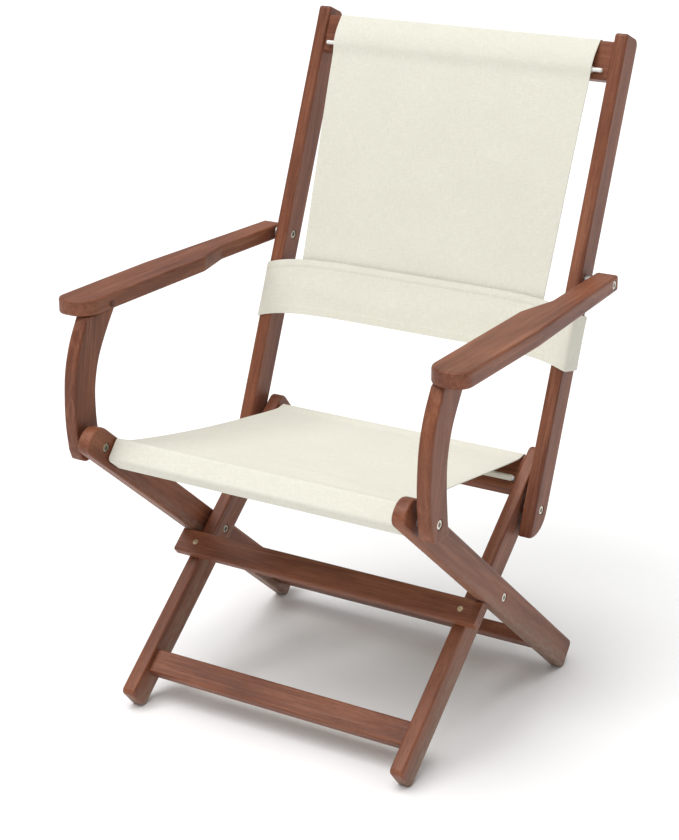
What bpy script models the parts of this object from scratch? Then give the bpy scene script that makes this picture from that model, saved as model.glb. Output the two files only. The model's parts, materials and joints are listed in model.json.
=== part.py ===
"""Wooden folding armchair with a canvas seat and back.

Metres, +Z up. The chair faces -Y and is symmetric about X = 0. "left" is the side at -X and
"right" the side at +X, as seen from in front. The origin is under the middle of the chair's box.

Four frames fold on one another. Each has an empty on its joint axis, and its pieces are modelled in
that empty's own space: X across the seat, Y towards the back of a bar, Z up along the bar.
"""

from math import atan2, cos, pi, radians, sin, tan

import bmesh
import bpy
from mathutils import Matrix, Vector

# Driving dimensions ---------------------------------------------------------------------------

BAR_THICKNESS = 0.020          # every bar, measured across the seat
LEG_DEPTH = 0.044              # front and rear legs, seen from the side
POST_DEPTH = 0.042             # back posts, seen from the side
LEG_GAP = 0.005                # between a front leg and the rear leg or post beside it
ARM_GAP = 0.009                # between a rear leg or post and the arm beside it
FRONT_LEG_X = 0.2205           # middle of a front leg, the innermost layer
REAR_LEG_X = FRONT_LEG_X + BAR_THICKNESS + LEG_GAP
ARM_X = REAR_LEG_X + BAR_THICKNESS + ARM_GAP
FRONT_LEG_SHIFT = -0.004       # a front leg's middle lies this far in front of its holes

LEG_PIVOT = (-0.0516, 0.195)   # (y, z) of the axis where the legs cross
FRONT_LEG_LEAN = radians(50.5)
REAR_LEG_LEAN = radians(-49.5)
BACK_LEAN = radians(22.1)
LEG_TO_BACK = 0.1425           # along the front leg, from the crossing to the back pivot
LEG_TO_SUPPORT = 0.3160        # along the rear leg, from the crossing to the arm support's pivot
BACK_TO_ARM = 0.3295           # along the post, from the back pivot to the armrest's pivot

FRONT_LEG_TOP = 0.230          # bar ends, measured along the bar from its own axis
REAR_LEG_TOP = 0.355
POST_TOP = 0.680
FOOT_ROUND = 0.008
FOOT_WEAR = 0.0008             # how much of a foot's round corner is worn flat
EDGE_ROUND = 0.003             # rounded long edges of the timber
MESH_GAP = 0.0003              # between touching pieces

RAIL_THICKNESS = 0.022         # the two slotted rails that hold the canvas
SEAT_RAIL_ACROSS = -0.009      # how far their middles lie behind the bars' holes
TOP_RAIL_ACROSS = -0.007
RAIL_SLOT = 0.005
SEAT_RAIL = (0.155, 0.2135)    # rear seat rail, low and high edge along the front leg
SEAT_RAIL_SLOT = 0.170
TOP_RAIL = (0.6115, 0.6675)    # the same for the back's top rail, along the post
TOP_RAIL_SLOT = 0.624
FOOT_RAIL = (-0.2475, -0.2115)
FOOT_RAIL_ACROSS = (-0.016, 0.004)
STRETCHER = (-0.2485, -0.2130)
STRETCHER_ACROSS = (-0.010, 0.010)
SLAT_HEIGHT = 0.037
SLAT_THICKNESS = 0.016
SLAT_HALF_LENGTH = 0.2495
FRONT_RAIL_ALONG = (0.2715, 0.3045)   # front seat rail, in the rear legs' space
FRONT_RAIL_ACROSS = (-0.0125, 0.0200)

ROD_RADIUS = 0.003
TOP_ROD_HALF_LENGTH = 0.228
SEAT_ROD_HALF_LENGTH = 0.2085

CLOTH = 0.0012
HEM_RADIUS = ROD_RADIUS + MESH_GAP + CLOTH / 2
SEAT_HALF_WIDTH_REAR = 0.2055
SEAT_HALF_WIDTH_MIDDLE = 0.2080
SEAT_HALF_WIDTH_FRONT = 0.2330
SEAT_SAG = 0.002
FRONT_WRAP_POINTS = 20         # of the seat's path, those round the front rail
PANEL_HALF_WIDTH_TOP = 0.2145
PANEL_HALF_WIDTH_LOW = 0.2000
BAND_LOW = 0.197
BAND_HIGH = 0.280
BAND_ARCH = 0.016              # how much higher the band runs between the posts
PANEL_TUCK = 0.006             # the panel ends this far above the band's low edge
BAND_CLEARANCE = 0.0004        # in front of and behind the posts
BAND_SIDE_CLEARANCE = 0.0030   # beside them

ARMREST_THICKNESS = 0.022
ARMREST_FRONT = -0.2403        # Y of the nose, measured from the leg pivot
ARMREST_BACK_OVERHANG = 0.0155  # beyond the armrest's pivot
ARMREST_OUTER = 0.2993         # |x| of the outer edge beside the pivot bolt
PLUG_FACE = 0.2572             # |x| of the timber plug in the inner edge
PLUG_LENGTH = 0.014
PLUG_RADIUS = 0.004
PLUG_Y = LEG_PIVOT[0] - 0.185
PLUG_HEIGHT = -0.003           # above the armrest's middle
PLUG_PAST = 0.006              # how far its hole's cutter stands out

HEAD_RADIUS = 0.0065           # bolts and sleeve nuts
HEAD_THICKNESS = 0.003
HEAD_RECESS = 0.0005
SHANK_RADIUS = 0.003
SLEEVE_RADIUS = 0.0045
SLEEVE_BORE = 0.0034
BOLT_HOLE = 0.005
COUNTERBORE = 0.0072
SOCKET_RADIUS = 0.0029
SOCKET_DEPTH = 0.0020
WASHER_RADIUS = 0.009
SHORT_OF_FACE = 0.006          # a shank or sleeve ends this far inside the last face

SIDES = {"left": -1, "right": 1}


# Points and outlines --------------------------------------------------------------------------

def bar_point(pivot, lean, across, along):
    """World (y, z) of a point given in a leaning bar's own space."""
    y = pivot[0] + along * sin(lean) + across * cos(lean)
    z = pivot[1] + along * cos(lean) - across * sin(lean)
    return (y, z)


def local_point(pivot, lean, point):
    """The reverse of bar_point: (across, along) of a world (y, z)."""
    y = point[0] - pivot[0]
    z = point[1] - pivot[1]
    return (y * cos(lean) - z * sin(lean), y * sin(lean) + z * cos(lean))


BACK_PIVOT = bar_point(LEG_PIVOT, FRONT_LEG_LEAN, 0, LEG_TO_BACK)
SUPPORT_PIVOT = bar_point(LEG_PIVOT, REAR_LEG_LEAN, 0, LEG_TO_SUPPORT)
ARM_PIVOT = bar_point(BACK_PIVOT, BACK_LEAN, 0, BACK_TO_ARM)


def rounded(corners, steps=5):
    """An outline through (a, b, radius) corners, each turned into an arc of that radius."""
    outline = []
    for index, (a, b, radius) in enumerate(corners):
        corner = Vector((a, b))
        before = (Vector(corners[index - 1][:2]) - corner).normalized()
        after = (Vector(corners[(index + 1) % len(corners)][:2]) - corner).normalized()
        if radius == 0:
            outline.append((a, b))
            continue
        half = before.angle(after) / 2
        centre = corner + (before + after).normalized() * (radius / sin(half))
        start = corner + before * (radius / tan(half)) - centre
        end = corner + after * (radius / tan(half)) - centre
        first = atan2(start.y, start.x)
        turn = (atan2(end.y, end.x) - first + pi) % (2 * pi) - pi
        for step in range(steps + 1):
            angle = first + turn * step / steps
            outline.append((centre.x + radius * cos(angle), centre.y + radius * sin(angle)))
    return outline


def smooth(points, steps=4):
    """A Catmull-Rom curve through a few (a, b) points."""
    ends = [tuple(2 * Vector(points[0]) - Vector(points[1]))]
    ends += list(points)
    ends.append(tuple(2 * Vector(points[-1]) - Vector(points[-2])))
    curve = []
    for index in range(1, len(ends) - 2):
        p0, p1, p2, p3 = (Vector(ends[index + shift]) for shift in (-1, 0, 1, 2))
        for step in range(steps):
            t = step / steps
            point = 2 * p1 + (p2 - p0) * t
            point += (2 * p0 - 5 * p1 + 4 * p2 - p3) * t ** 2
            point += (3 * p1 - p0 - 3 * p2 + p3) * t ** 3
            curve.append(tuple(point / 2))
    curve.append(tuple(points[-1]))
    return curve


def arc(centre, radius, first, last, steps):
    """Points on an arc, with its angles in degrees."""
    angles = [radians(first + (last - first) * step / steps) for step in range(steps + 1)]
    return [(centre[0] + radius * cos(a), centre[1] + radius * sin(a)) for a in angles]


# Building blocks ------------------------------------------------------------------------------

def make_material(name, colour, roughness, metallic=0.0):
    material = bpy.data.materials.new(name)
    material.use_nodes = True
    shader = material.node_tree.nodes["Principled BSDF"]
    shader.inputs["Base Color"].default_value = (*colour, 1)
    shader.inputs["Roughness"].default_value = roughness
    shader.inputs["Metallic"].default_value = metallic
    return material


def make_frame(name, pivot, lean=0.0):
    """An empty on a joint axis, turned so that its Z runs up along the frame's bars."""
    empty = bpy.data.objects.new(name, None)
    bpy.context.scene.collection.objects.link(empty)
    empty.location = (0, *pivot)
    empty.rotation_euler = (-lean, 0, 0)
    empty.empty_display_size = 0.05
    return empty


def make_object(name, bm, material, parent):
    bmesh.ops.recalc_face_normals(bm, faces=bm.faces)
    mesh = bpy.data.meshes.new(name)
    bm.to_mesh(mesh)
    bm.free()
    piece = bpy.data.objects.new(name, mesh)
    bpy.context.scene.collection.objects.link(piece)
    piece.parent = parent
    if material is not None:
        mesh.materials.append(material)
    return piece


def from_side(a, b, height):
    """An outline seen from the side, (across, along), raised across the seat."""
    return (height, a, b)


def from_above(a, b, height):
    """An outline seen from above, (x, y), raised upwards."""
    return (a, b, height)


def prism(name, outline, low, high, material, parent, place=from_side, edge=0.0):
    bm = bmesh.new()
    face = bm.faces.new([bm.verts.new(place(a, b, low)) for a, b in outline])
    raised = bmesh.ops.extrude_face_region(bm, geom=[face])["geom"]
    moved = [item for item in raised if isinstance(item, bmesh.types.BMVert)]
    shift = Vector(place(0, 0, high)) - Vector(place(0, 0, low))
    bmesh.ops.translate(bm, verts=moved, vec=shift)
    piece = make_object(name, bm, material, parent)
    if edge > 0:
        bevel = piece.modifiers.new("rounded_edges", "BEVEL")
        bevel.width = edge
        bevel.segments = 2
        bevel.limit_method = "ANGLE"
        bevel.angle_limit = radians(50)
        bevel.use_clamp_overlap = False
    return piece


def turned(name, profile, centre, material, parent, steps=20, closed=False):
    """A solid turned about X. The profile's (x, radius) points end on the axis, or close up."""
    bm = bmesh.new()
    rings = []
    for x, radius in profile:
        if radius == 0:
            rings.append([bm.verts.new((x, *centre))] * steps)
            continue
        ring = []
        for step in range(steps):
            angle = 2 * pi * (step + 0.5) / steps
            across = centre[0] + radius * cos(angle)
            ring.append(bm.verts.new((x, across, centre[1] + radius * sin(angle))))
        rings.append(ring)
    pairs = list(zip(rings, rings[1:]))
    if closed:
        pairs.append((rings[-1], rings[0]))
    for one, other in pairs:
        for step in range(steps):
            following = (step + 1) % steps
            corners = [one[step], one[following], other[following], other[step]]
            bm.faces.new(list(dict.fromkeys(corners)))
    piece = make_object(name, bm, material, parent)
    piece.data.shade_smooth()
    piece.data.set_sharp_from_angle(angle=radians(40))
    return piece


def cut(piece, cutter):
    """Cuts one piece with another, which stays out of the model."""
    cutter.hide_render = True
    cutter.display_type = "WIRE"
    boolean = piece.modifiers.new(cutter.name, "BOOLEAN")
    boolean.operation = "DIFFERENCE"
    boolean.solver = "EXACT"
    boolean.object = cutter


def drill(piece, name, centre, face, side, through, parent):
    """A bolt hole with a counterbore. face is |x| of the counterbored face, through |x| of the other."""
    inwards = 1 if through > face else -1
    past = 0.004
    floor = face + inwards * (HEAD_RECESS + HEAD_THICKNESS + MESH_GAP)
    profile = [
        (side * (face - inwards * past), 0),
        (side * (face - inwards * past), COUNTERBORE),
        (side * floor, COUNTERBORE),
        (side * floor, BOLT_HOLE),
        (side * (through + inwards * past), BOLT_HOLE),
        (side * (through + inwards * past), 0),
    ]
    cut(piece, turned(name, profile, centre, None, parent))


def strip(name, path, half_widths, material, parent):
    """A band of cloth along a (across, along) path, with a half width at each point of it."""
    bm = bmesh.new()
    rings = []
    for index, (a, b) in enumerate(path):
        here = Vector((a, b))
        before = Vector(path[max(index - 1, 0)])
        after = Vector(path[min(index + 1, len(path) - 1)])
        inward = (here - before).normalized() if index > 0 else (after - here).normalized()
        outward = (after - here).normalized() if index < len(path) - 1 else inward
        run = (inward + outward).normalized()
        spread = CLOTH / 2 / max(run.dot(inward), 0.5)
        normal = Vector((-run.y, run.x)) * spread
        width = half_widths[index]
        corners = [(-width, here + normal), (width, here + normal)]
        corners += [(width, here - normal), (-width, here - normal)]
        rings.append([bm.verts.new((x, point.x, point.y)) for x, point in corners])
    for one, other in zip(rings, rings[1:]):
        for corner in range(4):
            following = (corner + 1) % 4
            bm.faces.new([one[corner], one[following], other[following], other[corner]])
    bm.faces.new(rings[0])
    bm.faces.new(rings[-1])
    return make_object(name, bm, material, parent)


# Timber ---------------------------------------------------------------------------------------

def leg_outline(lean, pivot_height, shift, top_corners):
    """A leg from its square-cut foot, worn flat where it stands, to the given top corners."""
    heel = 1 if lean > 0 else -1
    half = LEG_DEPTH / 2
    rise = FOOT_ROUND * (cos(lean) + abs(sin(lean)) - 1)
    length = (pivot_height - (heel * half + shift) * sin(lean) + rise + FOOT_WEAR) / cos(lean)
    foot = [(-heel * half, -length, FOOT_ROUND), (heel * half, -length, FOOT_ROUND)]
    corners = foot + [(heel * a, b, radius) for a, b, radius in top_corners]
    outline = rounded([(a + shift, b, radius) for a, b, radius in corners])
    return worn_flat(outline, lean, pivot_height)


def worn_flat(outline, lean, pivot_height):
    """The outline with everything below the ground cut off level."""
    def height(point):
        return pivot_height + point[1] * cos(lean) - point[0] * sin(lean)

    crossings = []
    kept = []
    for index, point in enumerate(outline):
        after = outline[(index + 1) % len(outline)]
        if height(point) >= 0:
            kept.append(point)
        if (height(point) >= 0) != (height(after) >= 0):
            share = height(point) / (height(point) - height(after))
            crossings.append(tuple(Vector(point).lerp(Vector(after), share)))
            kept.append(crossings[-1])
    # A corner right beside the flat would leave an edge too short to round.
    return [point for point in kept if point in crossings or clear_of(point, crossings, 0.5 * EDGE_ROUND)]


def clear_of(point, others, least):
    return all((Vector(point) - Vector(other)).length > least for other in others)


def make_front_legs(frame, wood):
    half = LEG_DEPTH / 2
    top = [(half, FRONT_LEG_TOP, 0.008), (-half, FRONT_LEG_TOP, 0.012)]
    outline = leg_outline(FRONT_LEG_LEAN, LEG_PIVOT[1], FRONT_LEG_SHIFT, top)
    legs = {}
    for side_name, side in SIDES.items():
        inner = FRONT_LEG_X - BAR_THICKNESS / 2
        outer = FRONT_LEG_X + BAR_THICKNESS / 2
        leg = prism(f"front_leg_{side_name}", outline, side * inner, side * outer, wood, frame,
                    edge=EDGE_ROUND)
        drill(leg, f"cut_leg_nut_{side_name}", (0, 0), inner, side, outer, frame)
        drill(leg, f"cut_post_nut_{side_name}", (0, LEG_TO_BACK), inner, side, outer, frame)
        legs[side_name] = leg
    return legs


def make_rear_legs(frame, wood):
    half = LEG_DEPTH / 2
    top = [(half, REAR_LEG_TOP, 0.015), (-half, REAR_LEG_TOP, 0.024)]
    outline = leg_outline(REAR_LEG_LEAN, LEG_PIVOT[1], 0, top)
    for side_name, side in SIDES.items():
        inner = REAR_LEG_X - BAR_THICKNESS / 2
        outer = REAR_LEG_X + BAR_THICKNESS / 2
        leg = prism(f"rear_leg_{side_name}", outline, side * inner, side * outer, wood, frame,
                    edge=EDGE_ROUND)
        drill(leg, f"cut_leg_bolt_{side_name}", (0, 0), outer, side, inner, frame)
        drill(leg, f"cut_support_nut_{side_name}", (0, LEG_TO_SUPPORT), inner, side, outer, frame)


def make_back_posts(frame, wood):
    half = POST_DEPTH / 2
    tail = arc((-half, 0), POST_DEPTH, -78, 0, 8)
    square = [(half, POST_TOP, 0.011), (-half, POST_TOP, 0.005), (-half, -POST_DEPTH, 0.004)]
    outline = rounded([(*tail[-1], 0)] + square + [(*tail[0], 0)]) + tail[1:-1]
    for side_name, side in SIDES.items():
        inner = REAR_LEG_X - BAR_THICKNESS / 2
        outer = REAR_LEG_X + BAR_THICKNESS / 2
        post = prism(f"back_post_{side_name}", outline, side * inner, side * outer, wood, frame,
                     edge=EDGE_ROUND)
        drill(post, f"cut_post_bolt_{side_name}", (0, 0), outer, side, inner, frame)
        drill(post, f"cut_arm_nut_{side_name}", (0, BACK_TO_ARM), inner, side, outer, frame)


def make_rail(name, frame, wood, across, along, half_length, corner=0.003):
    outline = rounded([(a, b, corner) for a, b in (
        (across[0], along[0]), (across[1], along[0]), (across[1], along[1]), (across[0], along[1]))], 3)
    return prism(name, outline, -half_length, half_length, wood, frame)


def make_slotted_rail(name, frame, wood, middle, along, slot, half_length, slot_half_length):
    """A rail with a slot right through it for the canvas."""
    half = RAIL_THICKNESS / 2
    rail = make_rail(name, frame, wood, (middle - half, middle + half), along, half_length)
    low = slot - RAIL_SLOT / 2
    high = slot + RAIL_SLOT / 2
    opening = [(-2 * half, low), (2 * half, low), (2 * half, high), (-2 * half, high)]
    cut(rail, prism(f"cut_{name}", opening, -slot_half_length, slot_half_length, None, frame))
    return rail


def slat_top(front):
    """Where the slat's front top edge just meets the underside of the rear legs."""
    between = FRONT_LEG_LEAN - REAR_LEG_LEAN
    return (-LEG_DEPTH / 2 - MESH_GAP - front * cos(between)) / sin(between)


def make_stop_slat(frame, wood, metal, legs):
    back = FRONT_LEG_SHIFT - LEG_DEPTH / 2 - MESH_GAP
    front = back - SLAT_THICKNESS
    top = slat_top(front)
    slat = make_rail("stop_slat", frame, wood, (front, back), (top - SLAT_HEIGHT, top), SLAT_HALF_LENGTH)
    height = top - SLAT_HEIGHT / 2
    for side_name, side in SIDES.items():
        screw = make_slat_screw(side_name, side, front, height, metal, frame)
        for piece, label in ((slat, "slat"), (legs[side_name], "leg")):
            hole_name = f"cut_screw_{label}_{side_name}"
            hole = make_screw_body(hole_name, side, front, height, None, frame, MESH_GAP)
            cut(piece, hole)
        screw.data.set_sharp_from_angle(angle=radians(40))


def make_screw_body(name, side, front, height, material, frame, grow):
    """A countersunk screw lying across the slat, its head towards the front; grow makes its hole."""
    sunk = 0.0006
    start = front + (sunk if grow == 0 else -0.003)
    profile = [
        (start, 0),
        (start, 0.0042 + grow),
        (front + 0.0012 + grow, 0.0042 + grow),
        (front + 0.0042 + grow, 0.0020 + grow),
        (front + 0.0340 + grow, 0.0020 + grow),
        (front + 0.0360 + grow, 0),
    ]
    screw = turned(name, profile, (0, 0), material, frame, steps=16)
    # Turned about X first, then swung so that the axis runs from front to back.
    swing = Matrix(((0, -1, 0), (1, 0, 0), (0, 0, 1))).to_4x4()
    screw.data.transform(Matrix.Translation((side * FRONT_LEG_X, 0, height)) @ swing)
    return screw


def make_slat_screw(side_name, side, front, height, metal, frame):
    screw = make_screw_body(f"slat_screw_{side_name}", side, front, height, metal, frame, 0)
    width = 0.0008
    depth = 0.0014
    for turn, (wide, tall) in enumerate(((0.0026, width), (width, 0.0026))):
        x = side * FRONT_LEG_X
        outline = [(front - 0.001, height - tall), (front + depth, height - tall),
                   (front + depth, height + tall), (front - 0.001, height + tall)]
        cut(screw, prism(f"cut_cross_{turn}_{side_name}", outline, x - wide, x + wide, None, frame))
    return screw


# Arms -----------------------------------------------------------------------------------------

def armrest_outline(side):
    """The armrest seen from above, in the arm's space: broad nose, waist in the inner edge."""
    nose = LEG_PIVOT[0] + ARMREST_FRONT - ARM_PIVOT[0]
    tail = ARMREST_BACK_OVERHANG
    inner_face = ARM_X - BAR_THICKNESS / 2
    corners = [
        (0.3165, nose, 0.021),
        (0.3160, -0.270, 0.300),
        (0.2985, tail, 0.0045),
        (inner_face + 0.0005, tail, 0.0045),
        (0.2705, -0.140, 0.035),
        (0.2550, -0.205, 0.035),
        (0.2590, nose, 0.028),
    ]
    return [(side * x, y) for x, y in rounded(corners, 6)]


def support_outline():
    """The bent support seen from the side, in the arm's space, from its foot to the armrest."""
    front = smooth([(-0.2620, 0.200), (-0.2660, 0.235), (-0.2662, 0.270), (-0.2620, 0.312),
                    (-0.2500, 0.350), (-0.2310, 0.385)])
    rear = smooth([(-0.1700, 0.385), (-0.1925, 0.352), (-0.2100, 0.320), (-0.2195, 0.285),
                   (-0.2210, 0.250), (-0.2185, 0.215)])
    foot = [(-0.2150, 0.1815), (-0.2480, 0.1815), (-0.2570, 0.1865)]
    from_leg_pivot = front + rear + foot
    top = ARM_PIVOT[1] - ARMREST_THICKNESS / 2 - MESH_GAP
    highest = max(z for _, z in from_leg_pivot) + LEG_PIVOT[1]
    outline = []
    for y, z in from_leg_pivot:
        share = max(z - 0.30, 0) / 0.085
        height = LEG_PIVOT[1] + z + (top - highest) * share
        outline.append((LEG_PIVOT[0] + y - ARM_PIVOT[0], height - ARM_PIVOT[1]))
    return outline


def make_arm(side_name, side, frame, wood, plug_wood):
    inner = ARM_X - BAR_THICKNESS / 2
    outer = ARM_X + BAR_THICKNESS / 2
    half = ARMREST_THICKNESS / 2
    rest = prism(f"armrest_{side_name}", armrest_outline(side), -half, half, wood, frame,
                 from_above, EDGE_ROUND)
    drill(rest, f"cut_arm_bolt_{side_name}", (0, 0), ARMREST_OUTER, side, inner - 0.004, frame)
    support = prism(f"arm_support_{side_name}", support_outline(), side * inner, side * outer, wood, frame,
                    edge=EDGE_ROUND)
    at = (SUPPORT_PIVOT[0] - ARM_PIVOT[0], SUPPORT_PIVOT[1] - ARM_PIVOT[1])
    drill(support, f"cut_support_bolt_{side_name}", at, outer, side, inner, frame)
    plug_at = (PLUG_Y - ARM_PIVOT[0], PLUG_HEIGHT)
    plug_end = PLUG_FACE + PLUG_LENGTH
    plug = [(side * PLUG_FACE, 0), (side * PLUG_FACE, PLUG_RADIUS), (side * plug_end, PLUG_RADIUS),
            (side * plug_end, 0)]
    hole_end = plug_end + MESH_GAP
    hole_radius = PLUG_RADIUS + MESH_GAP
    hole = [(side * (PLUG_FACE - PLUG_PAST), 0), (side * (PLUG_FACE - PLUG_PAST), hole_radius),
            (side * hole_end, hole_radius), (side * hole_end, 0)]
    turned(f"arm_plug_{side_name}", plug, plug_at, plug_wood, frame)
    cut(rest, turned(f"cut_plug_{side_name}", hole, plug_at, None, frame))


# Pivots ---------------------------------------------------------------------------------------

def make_bolt(name, centre, side, face, end, metal, frame):
    """A socket bolt whose head lies in the bar's outer face, its shank running inwards to end."""
    head = face - HEAD_RECESS
    neck = head - HEAD_THICKNESS
    profile = [(side * head, 0), (side * head, HEAD_RADIUS - 0.0006), (side * (head - 0.0006), HEAD_RADIUS),
               (side * neck, HEAD_RADIUS), (side * neck, SHANK_RADIUS), (side * end, SHANK_RADIUS),
               (side * end, 0)]
    bolt = turned(name, profile, centre, metal, frame)
    floor = head - SOCKET_DEPTH
    past = head + 0.002
    socket = [(side * past, 0), (side * past, SOCKET_RADIUS), (side * floor, SOCKET_RADIUS),
              (side * floor, 0)]
    cut(bolt, turned(f"cut_{name}", socket, centre, None, frame, steps=6))


def make_nut(name, centre, side, face, end, metal, frame):
    """A sleeve nut whose head lies in the bar's inner face, its sleeve running outwards to end."""
    head = face + HEAD_RECESS
    neck = head + HEAD_THICKNESS
    bore_floor = neck + 0.001
    profile = [(side * head, 0), (side * head, HEAD_RADIUS - 0.0006), (side * (head + 0.0006), HEAD_RADIUS),
               (side * neck, HEAD_RADIUS), (side * neck, SLEEVE_RADIUS), (side * end, SLEEVE_RADIUS),
               (side * end, SLEEVE_BORE), (side * bore_floor, SLEEVE_BORE), (side * bore_floor, 0)]
    turned(name, profile, centre, metal, frame)


def make_washer(name, centre, side, gap_start, gap, metal, frame):
    low = gap_start + MESH_GAP
    high = gap_start + gap - MESH_GAP
    profile = [(side * low, BOLT_HOLE), (side * low, WASHER_RADIUS), (side * high, WASHER_RADIUS),
               (side * high, BOLT_HOLE)]
    turned(name, profile, centre, metal, frame, closed=True)


def make_pivots(frames, metal, dark_metal):
    front, rear, back = frames["front"], frames["rear"], frames["back"]
    half = BAR_THICKNESS / 2
    for side_name, side in SIDES.items():
        inner_pairs = (("leg", (0, 0)), ("post", (0, LEG_TO_BACK)))
        for label, centre in inner_pairs:
            outer_face = REAR_LEG_X + half
            inner_face = FRONT_LEG_X - half
            bolt_end = inner_face + SHORT_OF_FACE
            nut_end = outer_face - SHORT_OF_FACE
            make_bolt(f"{label}_bolt_{side_name}", centre, side, outer_face, bolt_end, metal, front)
            make_nut(f"{label}_nut_{side_name}", centre, side, inner_face, nut_end, metal, front)
            make_washer(f"{label}_washer_{side_name}", centre, side, FRONT_LEG_X + half, LEG_GAP,
                        dark_metal, front)
        centre = (0, BACK_TO_ARM)
        inner_face = REAR_LEG_X - half
        bolt_end = inner_face + SHORT_OF_FACE
        make_bolt(f"arm_bolt_{side_name}", centre, side, ARMREST_OUTER, bolt_end, metal, back)
        make_nut(f"arm_nut_{side_name}", centre, side, inner_face, ARM_X + 0.008, metal, back)
        make_washer(f"arm_washer_{side_name}", centre, side, REAR_LEG_X + half, ARM_GAP, dark_metal, back)
        # The support's bolt ends at the gap, so that the loop of bars is open at this pivot.
        arm = frames[side_name]
        at = (SUPPORT_PIVOT[0] - ARM_PIVOT[0], SUPPORT_PIVOT[1] - ARM_PIVOT[1])
        short = 0.001
        make_bolt(f"support_bolt_{side_name}", at, side, ARM_X + half, ARM_X - half + short, metal, arm)
        make_washer(f"support_washer_{side_name}", at, side, REAR_LEG_X + half, ARM_GAP, dark_metal, arm)
        nut_end = REAR_LEG_X + half - short
        make_nut(f"support_nut_{side_name}", (0, LEG_TO_SUPPORT), side, inner_face, nut_end, metal, rear)


# Canvas ---------------------------------------------------------------------------------------

def slot_path(middle, slot, rail_top):
    """Hem round the rod in front of a slotted rail, back through the slot, up and over the rail."""
    front = middle - RAIL_THICKNESS / 2
    rear = middle + RAIL_THICKNESS / 2
    skin = CLOTH / 2 + MESH_GAP
    rod_across = front - 0.0002 - HEM_RADIUS - CLOTH / 2 - MESH_GAP
    hem = arc((rod_across, slot), HEM_RADIUS, -40, -318, 14)
    path = hem + [(front, slot + 0.0012), (rear - 0.002, slot + 0.0004), (rear + 0.0006, slot + 0.0006)]
    path += [(rear + skin, slot + 0.0016), (rear + skin, slot + 0.004)]
    path += arc((rear - 0.003, rail_top - 0.003), 0.003 + skin, 0, 90, 4)
    return path, rod_across


def seat_path(rail_path):
    """World (y, z) path of the seat: over the rear rail, forwards, and round the front rail."""
    skin = CLOTH / 2 + MESH_GAP
    path = [bar_point(LEG_PIVOT, FRONT_LEG_LEAN, a, b) for a, b in rail_path]
    rail_front = SEAT_RAIL_ACROSS - RAIL_THICKNESS / 2
    corner = arc((rail_front + 0.003, SEAT_RAIL[1] - 0.003), 0.003 + skin, 90, 140, 3)
    path += [bar_point(LEG_PIVOT, FRONT_LEG_LEAN, a, b) for a, b in corner]
    (low, high), (under, over) = FRONT_RAIL_ALONG, FRONT_RAIL_ACROSS
    bend = 0.005
    wrap = arc((over - bend, high - bend), bend + skin, 40, 90, 4)
    wrap += arc((under + bend, high - bend), bend + skin, 90, 180, 4)
    wrap += arc((under + bend, low + bend), bend + skin, 180, 270, 4)
    wrap += arc((over - bend, low + bend), bend + skin, 270, 335, 4)
    front = [bar_point(LEG_PIVOT, REAR_LEG_LEAN, a, b) for a, b in wrap]
    start = Vector(path[-1])
    end = Vector(front[0])
    for step in range(1, 12):
        share = step / 12
        point = start.lerp(end, share)
        path.append((point.x, point.y - SEAT_SAG * 4 * share * (1 - share)))
    return path + front


def make_seat_canvas(frame, canvas):
    rail_path, _ = slot_path(SEAT_RAIL_ACROSS, SEAT_RAIL_SLOT, SEAT_RAIL[1])
    path = seat_path(rail_path)
    first = path[len(rail_path)][0]
    last = bar_point(LEG_PIVOT, REAR_LEG_LEAN, FRONT_RAIL_ACROSS[1], FRONT_RAIL_ALONG[1])[0]
    widths = []
    for index, (y, _) in enumerate(path):
        share = min(max((first - y) / (first - last), 0), 1) if index > len(rail_path) else 0
        drawn_in = SEAT_HALF_WIDTH_REAR + (SEAT_HALF_WIDTH_MIDDLE - SEAT_HALF_WIDTH_REAR) * share
        widths.append(drawn_in + (SEAT_HALF_WIDTH_FRONT - drawn_in) * share ** 4)
    wrapped = len(path) - FRONT_WRAP_POINTS
    widths[wrapped:] = [SEAT_HALF_WIDTH_FRONT] * FRONT_WRAP_POINTS
    in_frame = [local_point(LEG_PIVOT, FRONT_LEG_LEAN, point) for point in path]
    return strip("seat_canvas", in_frame, widths, canvas, frame)


def make_back_panel(frame, canvas):
    """The back's sheet, from the hem behind the top rail down into the band."""
    path, rod_across = slot_path(TOP_RAIL_ACROSS, TOP_RAIL_SLOT, TOP_RAIL[1])
    rail_front = TOP_RAIL_ACROSS - RAIL_THICKNESS / 2
    skin = CLOTH / 2 + MESH_GAP
    path += arc((rail_front + 0.003, TOP_RAIL[1] - 0.003), 0.003 + skin, 90, 180, 4)[1:]
    clear_of_hem = rod_across - HEM_RADIUS - CLOTH - MESH_GAP
    low = BAND_LOW + BAND_ARCH + PANEL_TUCK
    front = [(clear_of_hem, TOP_RAIL_SLOT + 0.004), (clear_of_hem, TOP_RAIL_SLOT - 0.004)]
    for step in range(1, 13):
        share = step / 12
        along = TOP_RAIL_SLOT - 0.004 + (low - TOP_RAIL_SLOT + 0.004) * share
        across = clear_of_hem + (-0.0155 - clear_of_hem) * share
        front.append((across, along))
    path += front
    spread = PANEL_HALF_WIDTH_TOP - PANEL_HALF_WIDTH_LOW
    widths = []
    for _, along in path:
        share = (along - low) / (TOP_RAIL[1] - low)
        widths.append(PANEL_HALF_WIDTH_LOW + spread * min(max(share, 0), 1))
    return strip("back_panel", path, widths, canvas, frame)


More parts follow.
